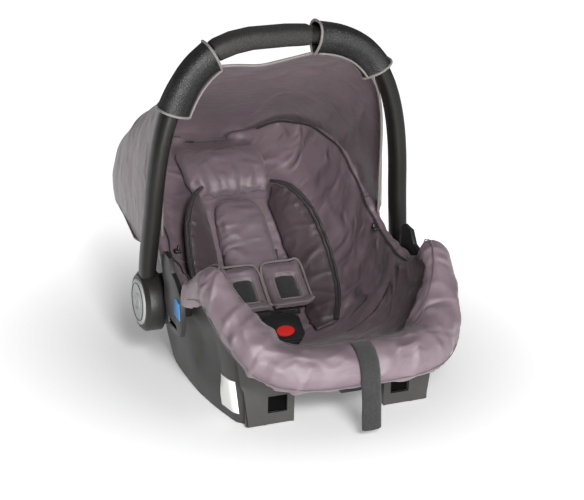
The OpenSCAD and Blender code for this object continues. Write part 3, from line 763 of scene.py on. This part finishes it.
def leaf(y, f):
    """A point of a wing's face, from its root, f = 0, to its free edge, f = 1."""
    root = Vector((57, y, bowl(57, y, 12) + 14))
    swell = 6 * math.sin(math.pi * f) * along_wing(y, 4)
    return root + (ridge(y) - root) * f + Vector((-0.55, 0, 0.75)) * swell * 0.35


def sided(sd, p):
    return Vector((sd * p.x, p.y, p.z))


def wing_fold(p):
    k = 0.7 * wob(p, 40, 7) + 1.5 * crease((p.x * 0.3, p.y, p.z), 30, 17, 4.0)
    return clip(k - 0.4, -2.0, 2.8)


for sd, nm in SIDES:
    top, bot = [], []
    for y in np.linspace(WING_Y0, WING_Y1, 46):
        face, behind = [], []
        for f in np.linspace(0, 1, 19):
            thick = 13 * (0.25 + 0.75 * up(1 - abs(2 * f - 1) ** 4, 0.5))
            thick *= 0.4 + 0.6 * up(along_wing(y, 6), 0.5)
            face.append(sided(sd, leaf(y, f)))
            behind.append(sided(sd, leaf(y, f) + Vector((0.55, 0, -0.75)) * thick))
        top.append(face)
        bot.append(behind)
    # painted shade: each wing is built in the darker, shaded copy of the cloth
    wing = build("shaded_wing_cloth_" + nm, *pad(top, bot), "wing", "seat", "insert_fabric")
    puff(wing, 0.0045, 3.0, 0.0035)
    shift(wing, wing_fold)
    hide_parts("insert_wing_" + nm)
    for q, (f, r, proud) in enumerate(((1.0, 3.0, 1.2), (0.93, 2.0, 3.4))):
        pts = [sided(sd, leaf(y, f) + Vector((-0.5, 0, 0.7)) * proud) for y in np.linspace(-28, 177, 70)]
        tube("wing_piping_%s_%d" % (nm, q), pts, r, "piping", "seat")


def head_high(y):
    return look(y, [(206, 44), (240, 42), (294, 34)])


def head_fold(p):
    # gathers along the pad's two long edges
    edge = math.exp(-((p.y - 290) / 16) ** 2) + 0.8 * math.exp(-((p.y - 208) / 16) ** 2)
    k = 2.4 * edge * math.sin(p.x / 4.6 + 2.4 * wob(p, 26, 12))
    return clip(k + 1.6 * crease((p.x, p.y * 0.3, p.z * 0.3), 22, 31) - 0.5, -3.2, 2.4)


head = surf_pad("head_cloth", 205, 294, 79, head_high, 20, 46, 6, 0.15)
puff(head, 0.0045, 3.5, 0.005)
shift(head, head_fold)
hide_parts("head_pad")

# ---------------------------------------------------------------- harness
PAD_X = 37.5
PAD_ROWS = 30
PAD_COLS = 28
WINDOW = (16, 60)
# a strap's section, as (share of its half width, height)
STRAP = ((-1, 0), (-0.97, 1.6), (0, 2), (0.97, 1.6), (1, 0), (0, 0.2))
WINDOW_STRAP = ((-1, -1), (-0.98, 0.7), (0, 1.0), (0.98, 0.7), (1, -1), (0, -1.2))
TAIL_STRAP = ((-1, 0.2), (-0.97, -1.2), (0, -1.5), (0.97, -1.2), (1, 0.2), (0, 0.4))


def web_z(x, y):
    return bowl(min(abs(x), 50), y) + 13 + look(y, INSERT)


def pad_z(y, x=0.0):
    """Underside of a shoulder pad: its outer edge lies over the wing."""
    return max(web_z(37, y) + 5, 78 - 0.3 * y) + 5 * ease((abs(x) - 56) / 14)


def between(a, lo, hi, blur):
    return ease((a - lo) / blur) * ease((hi - a) / blur)


def pad_fold(p):
    return clip(0.8 * wob(p, 18, 15) + 0.9 * crease(p, 20, 35) - 0.2, -1.0, 1.3)


def pad_grids(sd):
    """Top and underside of a shoulder pad, with the window for its webbing pressed in."""
    top, bot = [], []
    for j in range(PAD_ROWS + 1):
        y = 2 + 78 * j / PAD_ROWS
        e2 = up(1 - abs(2 * j / PAD_ROWS - 1) ** 6, 0.5) * 0.8 + 0.2
        upper, lower = [], []
        for i in range(PAD_COLS + 1):
            a = 2 * i / PAD_COLS - 1
            e1 = up(1 - abs(a) ** 5, 0.5) * 0.8 + 0.2
            dip = 6.5 * between(a * 34, -21, 21, 6) * between(y, *WINDOW, 6)
            x = sd * PAD_X + a * 35
            upper.append(Vector((x, y, pad_z(y, x) + 13.5 * e1 * e2 - dip)))
            lower.append(Vector((x, y, pad_z(y, x))))
        top.append(upper)
        bot.append(lower)
    return top, bot


def bound_edge(sd, half, y0, y1, high):
    """A rounded rectangle laid over a shoulder pad."""
    pts = []
    for a in np.linspace(0, 2 * math.pi, 100, endpoint=False):
        x = sd * PAD_X + half * sgn(math.cos(a)) * abs(math.cos(a)) ** 0.35
        y = (y0 + y1) / 2 + (y1 - y0) / 2 * sgn(math.sin(a)) * abs(math.sin(a)) ** 0.35
        pts.append((x, y, pad_z(y, x) + high))
    return pts


def harness_rows(sd):
    """From the tongue, under the pad, and down into the insert's slot."""
    out = []
    for y in [-1, 3, 8, 12, 17] + list(np.linspace(22, 111, 18)):
        z = max(web_z(37, y) + 2, 70.5 - 0.2 * y) - 26 * ease((y - 60) / 14)
        middle = sd * (23.5 + 13.5 * ease(y / 30))
        half = 19 - 7 * ease((y - 56) / 12)
        out.append([Vector((middle + a * half, y, z + b)) for a, b in STRAP])
    for z in np.linspace(web_z(37, 112) - 6, 91, 6):
        out.append([Vector((sd * 37 + a * 12, 112 + b, z)) for a, b in STRAP])
    return out


for sd, nm in SIDES:
    shoulder = build("shoulder_cloth_" + nm, *pad(*pad_grids(sd)), "insert", "seat", "insert_fabric")
    puff(shoulder, 0.0035, 2.5, 0.0012)
    shift(shoulder, pad_fold)
    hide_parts("shoulder_pad_" + nm)
    seen = [[Vector((sd * PAD_X + a * 18, y, pad_z(y) + 11.2 + b)) for a, b in WINDOW_STRAP]
            for y in np.linspace(20, 57, 12)]
    build("pad_webbing_" + nm, *rings(seen), "web", "seat", "webbing", (), 1)
    for q, (half, y0, y1, high, r) in enumerate(((36.4, 1, 81, 5.5, 1.9), (20.5, *WINDOW, 13.6, 1.2))):
        tube("pad_edge_%s_%d" % (nm, q), bound_edge(sd, half, y0, y1, high), r, "tape", "seat",
             True)
    build("harness_web_" + nm, *rings(harness_rows(sd)), "web", "seat", "webbing",
          ("shoulder_strap_" + nm,), 1)

# the adjusting strap, out of the roll, over it and down its front: its middle line as (Y, Z)
TAIL = [(-303, 80), (-303, 104), (-305, 122), (-311, 132), (-320, 135.5), (-331, 134), (-341, 128),
        (-349, 118), (-353, 104), (-354.5, 84), (-355.5, 60), (-354.5, 38), (-355.5, 14)]
TAIL_ROWS = 60
steps = np.linspace(0, len(TAIL) - 1, TAIL_ROWS)
smoothing = np.array([1, 2, 3, 2, 1]) / 9
tail_line = []
for values in zip(*TAIL):
    line = np.interp(steps, range(len(TAIL)), values)
    line[2:-2] = np.convolve(line, smoothing, "valid")
    tail_line.append(line)
tail_line = np.array(tail_line).T
tail_rows = []
for i in range(TAIL_ROWS):
    d = tail_line[min(TAIL_ROWS - 1, i + 1)] - tail_line[max(0, i - 1)]
    d /= np.linalg.norm(d)
    y, z = tail_line[i]
    swing = 4 * ease((i - 25) / 34)
    tail_rows.append([Vector((swing + q * 16, y + d[1] * h, z - d[0] * h)) for q, h in TAIL_STRAP])
build("adjust_web", *rings(tail_rows), "web", "seat", "webbing", ("adjuster_strap",), 1)

# ---------------------------------------------------------------- handle sleeves
HUB_Z = 120
ARCH_HALF = 207.6
ARCH_HIGH = 409
ARCH_POWER = 2 / 3.3
LEAN = math.radians(6.3)


def arch(u):
    """The handle's middle line in its own plane, at u degrees from the +X hub, as (X, height)."""
    c, s = math.cos(math.radians(u)), math.sin(math.radians(u))
    z = ARCH_HIGH * up(s, ARCH_POWER)
    x = ARCH_HALF * sgn(c) * up(abs(c), ARCH_POWER) + sgn(c) * 7 * (1 - ease((z - 30) / 130))
    return np.array((x, z))


def on_arch(u, radial, sideways):
    """radial is outward from the arch's middle line, in its plane; sideways is along Y."""
    p = arch(u)
    d = arch(min(179.98, u + 0.6)) - arch(max(0.02, u - 0.6))
    d /= np.linalg.norm(d)
    out = np.array((-d[1], d[0]))
    # of the two normals, the one that leads away from the middle of the arch
    if out @ (p - np.array((0, 120))) <= 0:
        out = -out
    x, z = p + out * radial
    return Vector((x, sideways * math.cos(LEAN) - z * math.sin(LEAN),
                   HUB_Z + z * math.cos(LEAN) + sideways * math.sin(LEAN)))


def sleeve_section(a, half_out, half_side):
    """A rounded section, flatter and narrower on the side under the bar."""
    ca, sa = math.cos(a), math.sin(a)
    radial = half_out * sgn(ca) * abs(ca) ** 0.8
    sideways = half_side * sgn(sa) * abs(sa) ** 0.75
    if ca < 0:
        radial -= 11 * abs(ca) ** 2.5
        sideways *= 1 - 0.35 * abs(ca) ** 2
    return radial, sideways


def sleeve(name, u0, u1, node):
    rows = []
    for f in np.linspace(0, 1, 31):
        u = u0 + (u1 - u0) * f
        flare = 1.4 * abs(2 * f - 1) ** 8
        row = []
        for a in np.linspace(0, 2 * math.pi, 40, endpoint=False):
            radial, sideways = sleeve_section(a, 18.2 + flare, 21 + flare)
            rumple = 0.7 * wob((radial * 2, sideways * 2, u * 3), 20, 3)
            row.append(on_arch(u, radial + rumple, sideways + rumple * 0.5))
        rows.append(row)
    o = build(name, *rings(rows, False), "leather", "handle", "sleeve_leatherette", (node,), 1)
    outward(o)
    thicken(o, 0.0016, -1)
    inset = 0.012 if u1 > u0 else -0.012
    for q, u in enumerate((u0 + inset, u1 - inset)):
        pts = [on_arch(u, *sleeve_section(a, 19.8, 22.6))
               for a in np.linspace(0, 2 * math.pi, 60, endpoint=False)]
        tube(name + "_hem_%d" % q, pts, 2.0, "tape", "handle", True)
    # bound flap under the tube, where the canopy is sewn on
    for q, sideways in enumerate((-13, 13)):
        pts = [on_arch(u0 + (u1 - u0) * f, -27.5, sideways) for f in np.linspace(0.02, 0.98, 30)]
        tube(name + "_flap_%d" % q, pts, 1.6, "tape", "handle")


sleeve("sleeve_left", 142.6, 113.5, "canopy_sleeve_left")
sleeve("sleeve_right", 85, 51, "canopy_sleeve_right")

# ---------------------------------------------------------------- canopy
# by Y: half width, height of the top, height of the lower hem
CANOPY_HALF = [(-14, 182), (8, 186), (18, 197), (90, 197.5), (130, 195), (200, 191), (250, 188),
               (300, 178), (330, 152), (348, 110), (355, 84)]
CANOPY_TOP = [(-40, 491.8), (0, 489.8), (42, 465.5), (160, 410), (252, 366), (306, 336), (338, 306),
              (355, 280)]
CANOPY_HEM = [(-14, 214), (0, 219), (8, 225), (20, 227), (36, 212), (60, 194), (125, 184), (199, 203),
              (260, 212), (302, 228), (355, 244)]
CANOPY_YS = list(np.linspace(0, 300, 60)) + list(np.linspace(305, 355, 16))


def hump(x, middle, spread):
    return math.exp(-((x - middle) / spread) ** 2)


def canopy_pt(y, a):
    w, b, t = soft(y, CANOPY_HALF, 5), look(y, CANOPY_HEM), soft(y, CANOPY_TOP, 12)
    s = up(math.sin(a), 0.5)
    x = w * sgn(math.cos(a)) * up(abs(math.cos(a)), 0.5)
    # the front edge is cut back at the hubs and reaches forward at the top
    forward = 0 if y > 60 else (1 - y / 60) * (46 * s * s - 8)
    # the free edge is held up by the sleeves and sags between them
    sag = 9 * hump(x, 62, 42) - 6 * hump(x, -42, 34) + 4 * hump(x, -118, 22)
    return Vector((x, y - forward, b + (t - b) * s + (1 - ease(y / 110)) * ease((s - 0.8) / 0.15) * sag))


# even spacing along the arch of a squarish section
turn = [1 - 2 * i / 96 for i in range(97)]
CANOPY_ANGLES = [math.pi / 2 + (math.pi / 2) * sgn(k) * abs(k) ** 1.5 for k in turn]
canopy_rows = [[canopy_pt(y, a) for a in CANOPY_ANGLES] for y in CANOPY_YS]
hood = list(canopy_rows)
# the back panel closes the hood below its last arch
for q in (0.35, 0.7, 1.0):
    y = 355 + 2.5 * math.sin(math.pi * q)
    canopy_rows.append([Vector((p.x * (1 - 0.04 * q), y, p.z + (236 - p.z) * q)) for p in hood[-1]])
canopy_faces = grid_faces(len(canopy_rows), len(canopy_rows[0]))
canopy = build("canopy_cloth", [p for r in canopy_rows for p in r], canopy_faces, "canopy", None,
               "canopy_fabric", ("canopy",), 1)
outward(canopy)


def canopy_fold(p):
    side = ease((abs(p.x) - 70) / 70)
    k = 3.4 * side * crease((p.x * 0.3, p.y * 0.55 + p.z, p.z * 0.5), 90, 21, 2.0)
    k += 3.0 * crease((p.x, p.y * 0.45, p.z * 0.45), 96, 27, 2.4)
    k += 3.0 * wob((p.x, p.y * 0.5, p.z), 80, 22) + 1.2 * wob(p, 26, 23) - 1.0
    # two sewn seams from the front edge to the back
    for middle in (-118, 118):
        k -= 2.6 * hump(p.x, middle * (1 - 0.0012 * p.y), 5)
    # the front edge stays where it is sewn
    return k * ease((p.y + 44) / 50) + 0.4 * wob(p, 20, 24)


shift(canopy, canopy_fold)
thicken(canopy, 0.0014, 0)
free = [tube("canopy_binding", hood[0], 2.2, "tape", None)]
for q in (0, -1):
    free.append(tube("canopy_hem_%d" % (q + 1), [r[q] for r in hood], 1.8, "tape", None))
for o in [canopy] + free:
    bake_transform(o)

# ---------------------------------------------------------------- plain rings on the hub buttons
BUTTON_FACE_X = 229.6
for sd, nm in SIDES:
    for q, (radius, r, key) in enumerate(((29.5, 0.7, "hub"), (12, 1.3, "cap"))):
        pts = [(sd * BUTTON_FACE_X, radius * math.cos(a), HUB_Z + radius * math.sin(a))
               for a in np.linspace(0, 2 * math.pi, 64, endpoint=False)]
        tube("cap_ring_%s_%d" % (nm, q), pts, r, key, "hub_button_" + nm, True)

# ---------------------------------------------------------------- springs
COIL_STEPS = 24


def coil(node, body, origin, along, radius, wire, turns, length):
    """A spring from its fixed end, origin in mm."""
    a = Vector(along).normalized()
    b = a.orthogonal().normalized()
    c, n = a.cross(b), turns * COIL_STEPS
    pts = []
    for i in range(n + 1):
        w = 2 * math.pi * i / COIL_STEPS
        centre = Vector(origin) + a * (wire + (length - 2 * wire) * i / n)
        pts.append(centre + (b * math.cos(w) + c * math.sin(w)) * radius)
    o = tube(node + "_wire", pts, wire, "steel", body)
    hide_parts(node)
    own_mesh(o)


for sd, nm in SIDES:
    coil("button_spring_" + nm, "handle", (sd * 210.4, 0, HUB_Z), (sd, 0, 0),
         17, 1.1, 4, 13.2)
coil("buckle_spring", "seat", (0, -36.85, 45.56), (0, -0.6157, 0.788),
     4.2, 0.6, 4, 10)

# painted shade: dark sheets behind the foot pockets, which open into the hollow feet, stand in for the
# shade inside them
for sd, nm in SIDES:
    top, bot = ([[Vector((sd * 98 + a * 17, y, 31 + b * 15)) for a in (-1, 1)] for b in (-1, 1)]
                for y in (-245.5, -244))
    build("pocket_shade_sheet_" + nm, *pad(top, bot), "pocket", "seat", "shell_plastic", (), 0, False)
